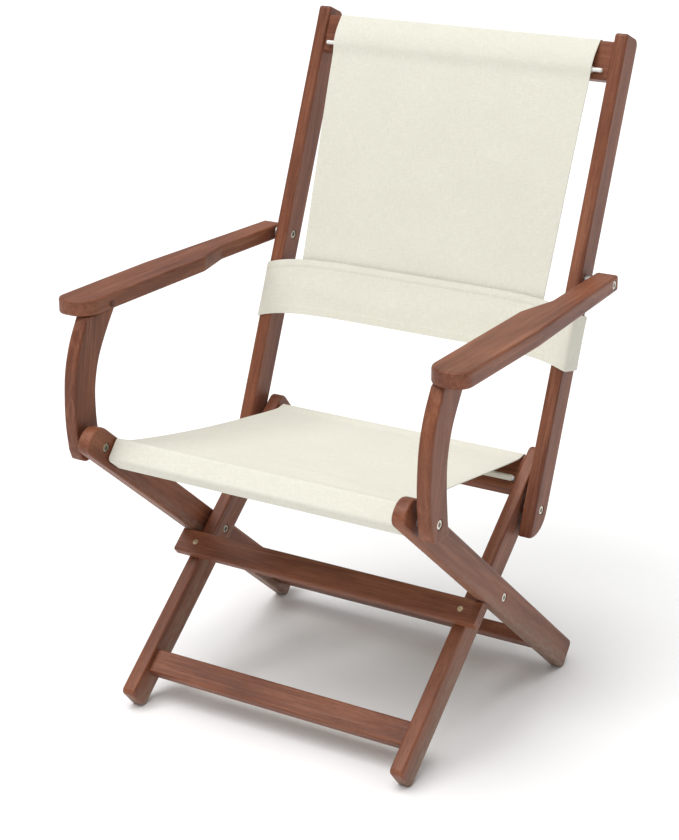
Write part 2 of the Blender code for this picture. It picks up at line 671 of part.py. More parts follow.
def make_back_band(frame, canvas):
    """A flat sleeve round both posts, running a little higher between them."""
    reach = REAR_LEG_X + BAR_THICKNESS / 2 + BAND_SIDE_CLEARANCE
    depth = POST_DEPTH / 2 + BAND_CLEARANCE
    corner = 0.0035
    base = rounded([(reach, -depth, corner), (reach, depth, corner), (-reach, depth, corner),
                    (-reach, -depth, corner)], 3)
    loop = []
    for index, point in enumerate(base):
        loop.append(point)
        after = base[(index + 1) % len(base)]
        if abs(after[0] - point[0]) > reach:
            loop += [tuple(Vector(point).lerp(Vector(after), step / 12)) for step in range(1, 12)]
    bm = bmesh.new()
    rows = []
    for x, across in loop:
        side_wall = CLOTH if abs(x) > reach - corner else 0
        face_wall = CLOTH if abs(across) > depth - corner else 0
        wall = Vector((side_wall, face_wall))
        outer = (x + wall.x * (1 if x > 0 else -1), across + wall.y * (1 if across > 0 else -1))
        lift = BAND_ARCH * max(0.0, 1 - (abs(x) / reach) ** 6)
        levels = (BAND_LOW + lift, BAND_HIGH + lift)
        rows.append([bm.verts.new((px, pa, level)) for level in levels for px, pa in ((x, across), outer)])
    for one, other in zip(rows, rows[1:] + rows[:1]):
        for first, second in ((0, 1), (1, 3), (3, 2), (2, 0)):
            bm.faces.new([one[first], one[second], other[second], other[first]])
    return make_object("back_band", bm, canvas, frame)


def make_rod(name, middle, slot, half_length, material, frame):
    _, across = slot_path(middle, slot, slot + 0.04)
    profile = [(-half_length, 0), (-half_length, ROD_RADIUS), (half_length, ROD_RADIUS), (half_length, 0)]
    turned(name, profile, (across, slot), material, frame, steps=16)


# The chair ------------------------------------------------------------------------------------

def main():
    for old in list(bpy.data.objects):
        bpy.data.objects.remove(old, do_unlink=True)

    wood = make_material("oiled_hardwood", (0.235, 0.095, 0.052), 0.45)
    dark_wood = make_material("oiled_hardwood_plug", (0.160, 0.062, 0.036), 0.50)
    canvas = make_material("canvas", (0.780, 0.770, 0.690), 0.90)
    metal = make_material("nickel", (0.620, 0.600, 0.550), 0.35, 1.0)
    dark_metal = make_material("zinc_washer", (0.450, 0.440, 0.420), 0.50, 1.0)
    white = make_material("white_rod", (0.800, 0.800, 0.780), 0.40)

    frames = {
        "front": make_frame("front_frame_axis", LEG_PIVOT, FRONT_LEG_LEAN),
        "rear": make_frame("leg_fold_axis", LEG_PIVOT, REAR_LEG_LEAN),
        "back": make_frame("back_fold_axis", BACK_PIVOT, BACK_LEAN),
        "left": make_frame("arm_pivot_left_axis", ARM_PIVOT),
        "right": make_frame("arm_pivot_right_axis", ARM_PIVOT),
    }
    front, rear, back = frames["front"], frames["rear"], frames["back"]
    between_front_legs = FRONT_LEG_X - BAR_THICKNESS / 2 - MESH_GAP
    between_rear_legs = REAR_LEG_X - BAR_THICKNESS / 2 - MESH_GAP

    front_legs = make_front_legs(front, wood)
    make_rail("front_foot_rail", front, wood, FOOT_RAIL_ACROSS, FOOT_RAIL, between_front_legs)
    make_slotted_rail("rear_seat_rail", front, wood, SEAT_RAIL_ACROSS, SEAT_RAIL, SEAT_RAIL_SLOT,
                      between_front_legs, SEAT_ROD_HALF_LENGTH)
    make_stop_slat(front, wood, metal, front_legs)
    make_rod("rear_seat_rod", SEAT_RAIL_ACROSS, SEAT_RAIL_SLOT, SEAT_ROD_HALF_LENGTH, white, front)

    make_rear_legs(rear, wood)
    make_rail("rear_stretcher", rear, wood, STRETCHER_ACROSS, STRETCHER, between_rear_legs)
    make_rail("front_seat_rail", rear, wood, FRONT_RAIL_ACROSS, FRONT_RAIL_ALONG, between_rear_legs, 0.005)

    make_back_posts(back, wood)
    make_slotted_rail("top_rail", back, wood, TOP_RAIL_ACROSS, TOP_RAIL, TOP_RAIL_SLOT,
                      between_rear_legs, PANEL_HALF_WIDTH_TOP + 0.002)
    make_rod("top_rod", TOP_RAIL_ACROSS, TOP_RAIL_SLOT, TOP_ROD_HALF_LENGTH, white, back)

    for side_name, side in SIDES.items():
        make_arm(side_name, side, frames[side_name], wood, dark_wood)
    make_pivots(frames, metal, dark_metal)

    make_seat_canvas(front, canvas)
    make_back_panel(back, canvas)
    make_back_band(back, canvas)


main()
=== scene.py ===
# %% [markdown]
# A wooden folding armchair with a canvas seat and back. The imported model gives the chair's frame: its
# bars, bolts and rods already sit in the right place and ride on the right moving body. This lesson
# gives each of them its visible form and finish. We start by loading the frame. Nothing added later may
# make the chair larger.

# %% The frame
import json
from math import cos, pi, radians, sin

import bmesh
import bpy
import numpy as np
from mathutils import Matrix, Vector


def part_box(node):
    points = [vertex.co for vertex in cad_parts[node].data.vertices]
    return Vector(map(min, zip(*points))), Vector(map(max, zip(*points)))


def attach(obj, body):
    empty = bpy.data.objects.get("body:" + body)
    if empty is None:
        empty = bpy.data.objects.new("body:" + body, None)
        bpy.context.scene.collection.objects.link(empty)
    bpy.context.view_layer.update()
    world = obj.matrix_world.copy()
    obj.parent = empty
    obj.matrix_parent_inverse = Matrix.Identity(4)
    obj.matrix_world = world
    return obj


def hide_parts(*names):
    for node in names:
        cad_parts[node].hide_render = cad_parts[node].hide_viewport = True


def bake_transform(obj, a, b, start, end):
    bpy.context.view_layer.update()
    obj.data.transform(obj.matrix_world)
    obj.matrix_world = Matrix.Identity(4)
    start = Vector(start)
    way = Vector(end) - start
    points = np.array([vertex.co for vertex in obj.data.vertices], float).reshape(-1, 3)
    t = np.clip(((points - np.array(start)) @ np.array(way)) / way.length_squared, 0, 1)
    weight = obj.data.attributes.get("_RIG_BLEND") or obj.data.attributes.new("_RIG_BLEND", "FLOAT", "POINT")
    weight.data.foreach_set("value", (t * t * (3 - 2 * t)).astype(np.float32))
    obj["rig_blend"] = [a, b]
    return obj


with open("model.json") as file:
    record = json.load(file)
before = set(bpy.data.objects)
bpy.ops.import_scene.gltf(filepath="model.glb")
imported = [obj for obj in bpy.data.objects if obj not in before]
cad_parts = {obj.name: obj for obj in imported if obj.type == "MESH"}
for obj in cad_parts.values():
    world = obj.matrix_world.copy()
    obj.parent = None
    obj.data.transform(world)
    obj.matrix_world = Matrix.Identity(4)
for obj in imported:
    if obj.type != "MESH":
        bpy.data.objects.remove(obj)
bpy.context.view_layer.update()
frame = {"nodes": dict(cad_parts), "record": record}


nodes = frame["nodes"]

# %% [markdown]
# The camera stands a little above the chair and in front of its right arm. It is a long lens, so the
# bars look nearly parallel. The small shift moves the chair in the picture without turning the lens.

# %% Camera
camera_data = bpy.data.cameras.new("studio_camera")
camera_data.lens = 85.689
camera_data.sensor_width = 36
camera_data.shift_x = -0.06455
camera_data.shift_y = -0.05467
camera_data.clip_end = 100
camera = bpy.data.objects.new("studio_camera", camera_data)
camera.location = (1.38225, -2.29412, 1.39102)
camera.rotation_euler = (radians(70.8524), radians(-0.1175), radians(30.2244))
bpy.context.scene.collection.objects.link(camera)
bpy.context.scene.camera = camera
print("camera at", tuple(round(value, 3) for value in camera.location))

# %% [markdown]
# A studio has three kinds of light: a large even one, which the world gives; a soft key that models the
# shapes, here a wide sun from the upper front left; and what the pale floor throws back. The Standard
# view keeps the canvas a clean off-white instead of compressing it.

# %% Studio
bpy.context.scene.view_settings.view_transform = "Standard"
world = bpy.data.worlds.new("studio_world")
bpy.context.scene.world = world
world.use_nodes = True
sky = world.node_tree.nodes["Background"]
sky.inputs["Color"].default_value = (1.0, 1.0, 1.0, 1)
sky.inputs["Strength"].default_value = 0.47


def add_sun(name, strength, spread, tilt, turn):
    """A soft directional light. tilt is from straight down, turn is about the vertical, in degrees."""
    data = bpy.data.lights.new(name, "SUN")
    data.energy = strength
    data.angle = radians(spread)
    light = bpy.data.objects.new(name, data)
    light.rotation_euler = (radians(tilt), 0, radians(turn))
    bpy.context.scene.collection.objects.link(light)
    return light


add_sun("key_light", 2.75, 55, 18, -32)

floor_mesh = bpy.data.meshes.new("studio_floor")
reach = 30.0
floor_mesh.from_pydata([(-reach, -reach, 0), (reach, -reach, 0), (reach, reach, 0), (-reach, reach, 0)],
                       [], [(0, 1, 2, 3)])
floor = bpy.data.objects.new("studio_floor", floor_mesh)
bpy.context.scene.collection.objects.link(floor)
floor.location.z = -0.0004
print("studio: world", sky.inputs["Strength"].default_value, "and one wide, soft sun")

# %% [markdown]
# Every finish is a node tree. These short helpers add a node, set its sockets and link it, so that the
# cells below read as a list of what the surface is made of.

# %% Material helpers
class Finish:
    """A material with its Principled shader, and short ways to add to its node tree."""

    def __init__(self, name, roughness, metallic=0.0, specular=0.5):
        self.material = bpy.data.materials.new(name)
        self.material.use_nodes = True
        self.tree = self.material.node_tree
        self.shader = self.tree.nodes["Principled BSDF"]
        self.set(self.shader, Roughness=roughness, Metallic=metallic)
        self.shader.inputs["Specular IOR Level"].default_value = specular

    def set(self, node, **values):
        for socket, value in values.items():
            node.inputs[socket].default_value = value

    def node(self, kind, **settings):
        node = self.tree.nodes.new(kind)
        for name, value in settings.items():
            setattr(node, name, value)
        return node

    def link(self, source, target):
        self.tree.links.new(source, target)

    def attribute(self, name, output="Vector"):
        return self.node("ShaderNodeAttribute", attribute_name=name).outputs[output]

    def coordinates(self, output="Object"):
        return self.node("ShaderNodeTexCoord").outputs[output]

    def stretched(self, vector, scale):
        """The same coordinates, scaled by a different amount along each of their axes."""
        mapping = self.node("ShaderNodeMapping")
        mapping.inputs["Scale"].default_value = scale
        self.link(vector, mapping.inputs["Vector"])
        return mapping.outputs["Vector"]

    def noise(self, vector, scale, detail=2.0, rough=0.5, distortion=0.0):
        noise = self.node("ShaderNodeTexNoise")
        self.set(noise, Scale=scale, Detail=detail, Roughness=rough, Distortion=distortion)
        self.link(vector, noise.inputs["Vector"])
        return noise.outputs["Fac"]

    def ranged(self, value, low, high, to_low=0.0, to_high=1.0):
        """The value's low to high, stretched to another range and kept inside it."""
        node = self.node("ShaderNodeMapRange")
        for socket, number in zip(("From Min", "From Max", "To Min", "To Max"), (low, high, to_low, to_high)):
            node.inputs[socket].default_value = number
        self.link(value, node.inputs["Value"])
        return node.outputs["Result"]

    def math(self, operation, first, second):
        node = self.node("ShaderNodeMath", operation=operation)
        for socket, value in zip(node.inputs, (first, second)):
            if isinstance(value, (int, float)):
                socket.default_value = value
            else:
                self.link(value, socket)
        return node.outputs["Value"]

    def mixed(self, share, first, second, blend="MIX"):
        """Two colours mixed by a share; each is a plain colour or another node's output."""
        node = self.node("ShaderNodeMix", data_type="RGBA", blend_type=blend)
        sockets = (node.inputs["Factor"], node.inputs[6], node.inputs[7])
        for socket, value in zip(sockets, (share, first, second)):
            if isinstance(value, (int, float)):
                socket.default_value = value
            elif isinstance(value, tuple):
                socket.default_value = (*value, 1)
            else:
                self.link(value, socket)
        return node.outputs[2]

    def bump(self, height, strength, distance):
        node = self.node("ShaderNodeBump")
        self.set(node, Strength=strength, Distance=distance)
        self.link(height, node.inputs["Height"])
        self.link(node.outputs["Normal"], self.shader.inputs["Normal"])


def give_material(obj, material):
    obj.data.materials.clear()
    obj.data.materials.append(material)


floor_finish = Finish("pale_floor", 0.9, specular=0.2)
floor_tone = floor_finish.noise(floor_finish.coordinates(), 0.8)
floor_share = floor_finish.ranged(floor_tone, 0.3, 0.7)
floor_colour = floor_finish.mixed(floor_share, (0.93, 0.93, 0.93), (0.95, 0.95, 0.95))
floor_finish.link(floor_colour, floor_finish.shader.inputs["Base Color"])
give_material(floor, floor_finish.material)
print("floor finished")

# %% [markdown]
# The bars are oiled reddish-brown hardwood. Its grain runs along each bar, however the bar leans, so
# the pattern can't read the world's axes. Each piece of timber carries a vector attribute called
# grain instead: metres along the bar, then across it. Noise stretched along that first axis gives
# slow changes of tone, fine streaks, and the short dark pores of an open-grained wood.

# %% Oiled hardwood
def hardwood(name, dark, middle, light):
    finish = Finish(name, 0.45, specular=0.30)
    grain = finish.attribute("grain")
    drift = finish.noise(finish.stretched(grain, (5.0, 26.0, 26.0)), 1.0, 3.0, 0.55)
    bands = finish.noise(finish.stretched(grain, (7.0, 190.0, 120.0)), 1.0, 3.0, 0.6, 0.6)
    streaks = finish.noise(finish.stretched(grain, (26.0, 900.0, 900.0)), 1.0, 3.0, 0.6)
    pores = finish.noise(finish.stretched(grain, (95.0, 2600.0, 2600.0)), 1.0, 1.0, 0.5)
    colour = finish.mixed(finish.ranged(drift, 0.30, 0.72), dark, middle)
    colour = finish.mixed(finish.ranged(bands, 0.46, 0.80, 0.0, 0.50), colour, light)
    deep = finish.ranged(streaks, 0.60, 0.30, 0.0, 0.34)
    colour = finish.mixed(deep, colour, tuple(0.42 * part for part in dark))
    pits = finish.ranged(pores, 0.40, 0.30, 0.0, 0.55)
    colour = finish.mixed(pits, colour, tuple(0.30 * part for part in dark))
    worn = finish.attribute("worn", "Fac")
    patchy = finish.noise(finish.stretched(grain, (60.0, 160.0, 160.0)), 1.0, 3.0, 0.6)
    wear = finish.math("MULTIPLY", worn, finish.ranged(patchy, 0.35, 0.62, 0.35, 1.0))
    colour = finish.mixed(wear, colour, (0.300, 0.235, 0.190))
    finish.link(colour, finish.shader.inputs["Base Color"])
    oiled = finish.ranged(streaks, 0.3, 0.7, 0.36, 0.52)
    rough = finish.math("ADD", oiled, finish.math("MULTIPLY", wear, 0.3))
    finish.link(rough, finish.shader.inputs["Roughness"])
    raised = finish.math("MULTIPLY", streaks, 0.6)
    relief = finish.math("SUBTRACT", raised, finish.math("MULTIPLY", pits, 0.8))
    finish.bump(relief, 0.35, 0.0004)
    return finish.material


timber = hardwood("oiled_hardwood", (0.125, 0.036, 0.017), (0.270, 0.090, 0.042), (0.420, 0.180, 0.100))
plug_timber = hardwood("plug_hardwood", (0.060, 0.016, 0.007), (0.120, 0.036, 0.016), (0.160, 0.055, 0.026))
print("timber finishes:", timber.name, plug_timber.name)

# %% [markdown]
# Each timber node comes as loose triangles. A copy is merged into one closed mesh and shaded smooth
# over its rounded edges, with the flats kept flat by weighting each corner's normal by face size. The
# longest way through a bar is the direction of its grain, which a principal-axis fit finds from the
# corners themselves. The seed of each piece moves the pattern, so no two bars show the same wood.

# %% Timber pieces
def mesh_points(mesh):
    points = np.empty(len(mesh.vertices) * 3)
    mesh.vertices.foreach_get("co", points)
    return points.reshape(-1, 3)


def add_attribute(mesh, name, values, kind="FLOAT_VECTOR"):
    attribute = mesh.attributes.new(name, kind, "POINT")
    key = "vector" if kind == "FLOAT_VECTOR" else "value"
    attribute.data.foreach_set(key, np.asarray(values, np.float32).ravel())


def apply_modifiers(obj):
    """The evaluated mesh in place of the plain one, with no modifier left."""
    bpy.context.view_layer.update()
    evaluated = obj.evaluated_get(bpy.context.evaluated_depsgraph_get())
    mesh = bpy.data.meshes.new_from_object(evaluated)
    obj.modifiers.clear()
    obj.data = mesh
    return obj


def timber_copy(name, label, seed):
    mesh = nodes[name].data.copy()
    mesh.name = label
    work = bmesh.new()
    work.from_mesh(mesh)
    bmesh.ops.remove_doubles(work, verts=work.verts, dist=1e-5)
    work.to_mesh(mesh)
    work.free()
    for attribute in [a.name for a in mesh.attributes if a.name == "custom_normal"]:
        mesh.attributes.remove(mesh.attributes[attribute])
    piece = bpy.data.objects.new(label, mesh)
    bpy.context.scene.collection.objects.link(piece)
    mesh.shade_smooth()
    mesh.set_sharp_from_angle(angle=radians(48))
    weighted = piece.modifiers.new("flat_faces", "WEIGHTED_NORMAL")
    weighted.keep_sharp = True
    weighted.weight = 60
    apply_modifiers(piece)
    points = mesh_points(piece.data)
    middle = points.mean(0)
    ways = np.linalg.svd(points - middle, full_matrices=False)[2]
    shift = np.random.default_rng(seed).uniform(0, 3, 3)
    add_attribute(piece.data, "grain", (points - middle) @ ways.T + shift)
    ground = np.clip(1 - points[:, 2] / 0.016, 0, 1)
    add_attribute(piece.data, "worn", ground, "FLOAT")
    return piece


timber_bodies = frame["record"]["behaviour"]["bodies"]
body_of = {name: body for body, members in timber_bodies.items() for name in members}
SIDES = ("left", "right")
timber_names = [f"{bar}_{side}" for bar in ("back_post", "front_leg", "rear_leg") for side in SIDES]
timber_names += ["front_foot_rail", "rear_seat_rail", "stop_slat", "rear_stretcher", "front_seat_rail"]
timber_names += ["top_rail"] + [f"{bar}_{side}" for bar in ("armrest", "arm_support") for side in SIDES]
PLUG_SEEDS = (44, 45)
timber_pieces = {}
for seed, name in enumerate(timber_names):
    piece = timber_copy(name, f"timber_{name}", seed)
    give_material(piece, timber)
    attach(piece, body_of[name])
    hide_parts(name)
    timber_pieces[name] = piece
for side, seed in zip(SIDES, PLUG_SEEDS):
    piece = timber_copy(f"arm_plug_{side}", f"grain_plug_{side}", seed)
    give_material(piece, plug_timber)
    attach(piece, f"arm_{side}")
    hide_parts(f"arm_plug_{side}")
print("timber pieces:", len(timber_pieces), "with two plugs")

# %% [markdown]
# The cloth is an unbleached cotton canvas in plain weave. On a UV map laid out in metres, two fine
# waves cross to raise its yarns, and noise drawn out along each direction gives the thick and thin
# places of the yarn, which the eye sees as a soft mottle. A little sheen lifts the edges.

# %% Canvas finish
def canvas_cloth(name, ground, slub, shade):
    finish = Finish(name, 0.88, specular=0.2)
    finish.shader.inputs["Sheen Weight"].default_value = 0.15
    finish.shader.inputs["Sheen Roughness"].default_value = 0.6
    cloth = finish.coordinates("UV")
    along = finish.noise(finish.stretched(cloth, (900.0, 70.0, 1.0)), 1.0, 2.0, 0.6)
    across = finish.noise(finish.stretched(cloth, (70.0, 900.0, 1.0)), 1.0, 2.0, 0.6)
    mottle = finish.noise(finish.stretched(cloth, (210.0, 210.0, 1.0)), 1.0, 3.0, 0.65)
    broad = finish.noise(finish.stretched(cloth, (16.0, 16.0, 1.0)), 1.0, 2.0, 0.5)
    yarns = finish.math("MULTIPLY", finish.math("ADD", along, across), 0.5)
    colour = finish.mixed(finish.ranged(yarns, 0.38, 0.64), ground, slub)
    colour = finish.mixed(finish.ranged(mottle, 0.42, 0.72, 0.0, 0.35), colour, shade)
    colour = finish.mixed(finish.ranged(broad, 0.35, 0.70, 0.0, 0.20), colour, shade)
    finish.link(colour, finish.shader.inputs["Base Color"])
    warp = finish.node("ShaderNodeTexWave", bands_direction="X")
    weft = finish.node("ShaderNodeTexWave", bands_direction="Y")
    for wave in (warp, weft):
        finish.set(wave, Scale=260.0, Distortion=0.6, Detail=1.0)
        finish.link(cloth, wave.inputs["Vector"])
    weave = finish.math("ADD", warp.outputs["Fac"], weft.outputs["Fac"])
    relief = finish.math("ADD", finish.math("MULTIPLY", weave, 0.35), finish.math("MULTIPLY", yarns, 0.9))
    finish.bump(relief, 0.55, 0.0005)
    return finish.material


canvas = canvas_cloth("canvas", (0.690, 0.672, 0.575), (0.775, 0.760, 0.665), (0.655, 0.638, 0.545))
thread = Finish("sewing_thread", 0.6, specular=0.3)
twist = thread.noise(thread.coordinates(), 1800.0, 2.0)
thread_colour = thread.mixed(thread.ranged(twist, 0.3, 0.7), (0.72, 0.71, 0.63), (0.83, 0.82, 0.75))
thread.link(thread_colour, thread.shader.inputs["Base Color"])
thread.bump(twist, 0.4, 0.0002)
print("cloth finishes:", canvas.name, thread.material.name)

# %% [markdown]
# A sheet of cloth starts as a grid of points in its middle layer: rows along the sheet, columns across
# it. This helper gives the grid its thickness, doubles it where a hem is folded and lays out the UV
# map in metres. With closed=True the columns run right round, as in a sleeve.

# %% Cloth helpers
CLOTH = 0.0012
HEM = 0.011


def lengths(points):
    """How far each point of a path is from its start, in metres."""
    steps = np.linalg.norm(np.diff(points, axis=0), axis=1)
    return np.concatenate([[0], np.cumsum(steps)])


def resample(points, at):
    far = lengths(points)
    return np.stack([np.interp(at, far, points[:, axis]) for axis in range(points.shape[1])], 1)


def grid_normals(grid, closed):
    down = np.gradient(grid, axis=0)
    if closed:
        across = np.roll(grid, -1, axis=1) - np.roll(grid, 1, axis=1)
    else:
        across = np.gradient(grid, axis=1)
    normal = np.cross(across, down)
    return normal / np.linalg.norm(normal, axis=2, keepdims=True)


def cloth_sheet(name, grid, outside, closed=False):
    """A closed sheet round a grid. outside is the outer layer's distance from the middle at each point."""
    rows, columns = grid.shape[:2]
    normal = grid_normals(grid, closed)
    outer = grid + normal * outside[..., None]
    inner = grid - normal * CLOTH / 2
    points = np.concatenate([outer.reshape(-1, 3), inner.reshape(-1, 3)])
    half = rows * columns

    def at(row, column, layer):
        return layer * half + row * columns + column % columns

    faces = []
    for row in range(rows - 1):
        for column in range(columns if closed else columns - 1):
            faces.append([at(row, column, 0), at(row, column + 1, 0),
                          at(row + 1, column + 1, 0), at(row + 1, column, 0)])
            faces.append([at(row, column, 1), at(row + 1, column, 1),
                          at(row + 1, column + 1, 1), at(row, column + 1, 1)])
    for row, flip in ((0, False), (rows - 1, True)):
        for column in range(columns if closed else columns - 1):
            face = [at(row, column, 1), at(row, column + 1, 1), at(row, column + 1, 0), at(row, column, 0)]
            faces.append(face[::-1] if flip else face)
    for row in range(rows - 1):
        for column, flip in () if closed else ((0, True), (columns - 1, False)):
            face = [at(row, column, 1), at(row + 1, column, 1), at(row + 1, column, 0), at(row, column, 0)]
            faces.append(face[::-1] if flip else face)
    mesh = bpy.data.meshes.new(name)
    mesh.from_pydata(points.tolist(), [], faces)
    u = lengths(grid[rows // 2])
    v = lengths(grid[:, columns // 2])
    if closed:
        u = lengths(np.concatenate([grid[rows // 2], grid[rows // 2, :1]]))
    layer = mesh.uv_layers.new(name="cloth")
    for polygon in mesh.polygons:
        places = [(mesh.loops[loop].vertex_index % half) % columns for loop in polygon.loop_indices]
        wraps = closed and max(places) - min(places) > 1
        for loop, column in zip(polygon.loop_indices, places):
            row = (mesh.loops[loop].vertex_index % half) // columns
            layer.data[loop].uv = (u[columns] if wraps and column == 0 else u[column], v[row])
    work = bmesh.new()
    work.from_mesh(mesh)
    bmesh.ops.recalc_face_normals(work, faces=work.faces)
    work.to_mesh(mesh)
    work.free()
    mesh.shade_smooth()
    mesh.set_sharp_from_angle(angle=radians(60))
    piece = bpy.data.objects.new(name, mesh)
    bpy.context.scene.collection.objects.link(piece)
    give_material(piece, canvas)
    return piece


def hem_step(distance, width=HEM, extra=0.0003):
    """How much a folded hem adds to the cloth, at a distance from its edge."""
    return extra * np.clip((width - np.asarray(distance)) / 0.0012, 0, 1)


print("a hem is", HEM * 1000, "mm wide on cloth", CLOTH * 1000, "mm thick")

# %% [markdown]
# Taut canvas isn't a plane: it hangs a little between its rails, draws in at its free edges and keeps
# shallow creases. Cloth simulation finds such a shape. The grid is pinned where the rails hold it, and
# Blender's Cloth lets the rest settle under its own weight for a few frames. The move is capped, so
# that the sheet stays in the thin space that the bars and rails around it leave.

# %% Cloth simulation
def settle(name, grid, pinned, frames, cap, stiffness=18.0):
    """The grid after it has settled. pinned is a mask of the rows that the rails hold."""
    rows, columns = grid.shape[:2]
    mesh = bpy.data.meshes.new(name)
    faces = [[r * columns + c, r * columns + c + 1, (r + 1) * columns + c + 1, (r + 1) * columns + c]
             for r in range(rows - 1) for c in range(columns - 1)]
    mesh.from_pydata(grid.reshape(-1, 3).tolist(), [], faces)
    sheet = bpy.data.objects.new(name, mesh)
    bpy.context.scene.collection.objects.link(sheet)
    held = sheet.vertex_groups.new(name="held")
    held.add([int(i) for i in np.flatnonzero(np.repeat(pinned, columns))], 1.0, "REPLACE")
    cloth = sheet.modifiers.new("cloth", "CLOTH")
    cloth.settings.quality = 8
    cloth.settings.mass = 0.35
    cloth.settings.tension_stiffness = stiffness
    cloth.settings.compression_stiffness = stiffness
    cloth.settings.shear_stiffness = 6.0
    cloth.settings.bending_stiffness = 1.2
    cloth.settings.vertex_group_mass = "held"
    cloth.collision_settings.use_collision = False
    cloth.point_cache.frame_start = 1
    cloth.point_cache.frame_end = frames
    scene = bpy.context.scene
    for step in range(1, frames + 1):
        scene.frame_set(step)
    bpy.context.view_layer.update()
    settled = sheet.evaluated_get(bpy.context.evaluated_depsgraph_get()).to_mesh()
    moved = mesh_points(settled).reshape(rows, columns, 3) - grid
    bpy.data.objects.remove(sheet)
    scene.frame_set(1)
    far = np.linalg.norm(moved, axis=2, keepdims=True)
    moved *= np.minimum(1, cap / np.maximum(far, 1e-9))
    print(name, "settled by up to", round(float(far.max()) * 1000, 2), "mm")
    return grid + moved


def soft_ripple(across, along, ripples):
    """The height of a few long soft creases, each given as its middle across and along, its slant, and
    its length, width and height."""
    height = np.zeros(np.broadcast(across, along).shape)
    for middle, place, slant, length, width, rise in ripples:
        run = across - middle
        off = along - place - slant * run
        height += rise * np.exp(-(run / length) ** 2) * np.exp(-(off / width) ** 2)
    return height


# %% [markdown]
# The seat follows one path seen from the side. It starts as a hem round a white rod in front of the
# rear rail, passes back through the rail's slot, comes up over the rail, runs forwards, and wraps the
# front rail at the top of the rear legs. The numbers are the frame's own: the two leg axes with their
# leans, and each rail's place measured across and along its leg.

# %% Paths through the slotted rails
LEG_PIVOT = (-0.0516, 0.195)
FRONT_LEG_LEAN = radians(50.5)
REAR_LEG_LEAN = radians(-49.5)
BACK_LEAN = radians(22.1)
BACK_PIVOT = (0.0584, 0.2856)
MESH_GAP = 0.0003
ROD_RADIUS = 0.003
RAIL_HALF = 0.011
SKIN = CLOTH / 2 + MESH_GAP
HEM_RADIUS = ROD_RADIUS + MESH_GAP + CLOTH / 2


def bar_point(pivot, lean, across, along):
    """World (y, z) of a point given in a leaning bar's own space."""
    y = pivot[0] + along * sin(lean) + across * cos(lean)
    z = pivot[1] + along * cos(lean) - across * sin(lean)
    return y, z


def arc(centre, radius, first, last, steps):
    angles = [radians(first + (last - first) * step / steps) for step in range(steps + 1)]
    return [(centre[0] + radius * cos(a), centre[1] + radius * sin(a)) for a in angles]


def slot_path(middle, slot, rail_top):
    """Hem round the rod, back through the slot, up and over a rail, in its bar's own space."""
    front, rear = middle - RAIL_HALF, middle + RAIL_HALF
    rod = front - 0.0002 - HEM_RADIUS - SKIN
    path = arc((rod, slot), HEM_RADIUS, -40, -318, 24)
    path += [(front, slot + 0.0012), (rear - 0.002, slot + 0.0004), (rear + 0.0006, slot + 0.0006)]
    path += [(rear + SKIN, slot + 0.0016), (rear + SKIN, slot + 0.004)]
    path += arc((rear - 0.003, rail_top - 0.003), 0.003 + SKIN, 0, 90, 8)
    return path, rod


rail_path, seat_rod = slot_path(-0.009, 0.170, 0.2135)
over_rail = rail_path + arc((-0.017, 0.2105), 0.003 + SKIN, 90, 140, 5)
rear_part = [bar_point(LEG_PIVOT, FRONT_LEG_LEAN, a, b) for a, b in over_rail]
wrap = []
for centre, first, last in (((0.0150, 0.2995), 40, 90), ((-0.0075, 0.2995), 90, 180),
                            ((-0.0075, 0.2765), 180, 270), ((0.0150, 0.2765), 270, 335)):
    wrap += arc(centre, 0.005 + SKIN, first, last, 9)
front_part = [bar_point(LEG_PIVOT, REAR_LEG_LEAN, a, b) for a, b in wrap]
print("seat path:", len(rear_part), "points behind,", len(front_part), "in front")

# %% [markdown]
# The free part between the two rails is straight apart from a slight sag. Across, the seat is drawn in
# along its middle and spreads again where the front rail holds it out. A few soft creases lie behind
# the front rail, where a sitter has pulled the cloth. The cloth area is taken from the flat cut.

# %% Seat
def between(start, end, steps, sag):
    start, end = np.array(start), np.array(end)
    shares = np.arange(1, steps) / steps
    points = start + (end - start) * shares[:, None]
    points[:, 1] -= 4 * sag * shares * (1 - shares)
    return points


SEAT_REAR_HALF, SEAT_FRONT_HALF = 0.2055, 0.2330
free_part = between(rear_part[-1], front_part[0], 56, 0.002)
seat_line = np.concatenate([rear_part, free_part, front_part])
seat_rows = len(seat_line)
first_free, last_free = len(rear_part), len(rear_part) + len(free_part)
share = np.clip((np.arange(seat_rows) - first_free) / (last_free - first_free), 0, 1)
drawn = SEAT_REAR_HALF + 0.0025 * share
seat_half = drawn + (SEAT_FRONT_HALF - drawn) * share ** 4

SEAT_CREASES = [(0.060, 0.305, 0.10, 0.075, 0.0075, 0.0020), (0.095, 0.322, 0.06, 0.060, 0.0060, 0.0014),
                (-0.040, 0.312, -0.10, 0.050, 0.0080, 0.0006), (0.020, 0.270, 0.16, 0.110, 0.0140, 0.0006),
                (0.120, 0.255, -0.35, 0.050, 0.0120, 0.0005), (-0.130, 0.290, -0.28, 0.050, 0.0110, 0.0006),
                (-0.060, 0.120, 0.20, 0.120, 0.0200, 0.0005), (0.110, 0.070, -0.30, 0.070, 0.0140, 0.0005)]
even = np.linspace(-1, 1, 49)
seat_grid = np.empty((seat_rows, len(even), 3))
seat_grid[..., 0] = seat_half[:, None] * even
seat_grid[..., 1:] = seat_line[:, None, :]
free_run = lengths(seat_line) - lengths(seat_line)[first_free]
free_mask = (np.arange(seat_rows) >= first_free) & (np.arange(seat_rows) < last_free)
ease = np.where(free_mask, np.clip(np.minimum(free_run, free_run[last_free] - free_run) / 0.03, 0, 1), 0)
creases = soft_ripple(seat_grid[..., 0], free_run[:, None], SEAT_CREASES) * ease[:, None]
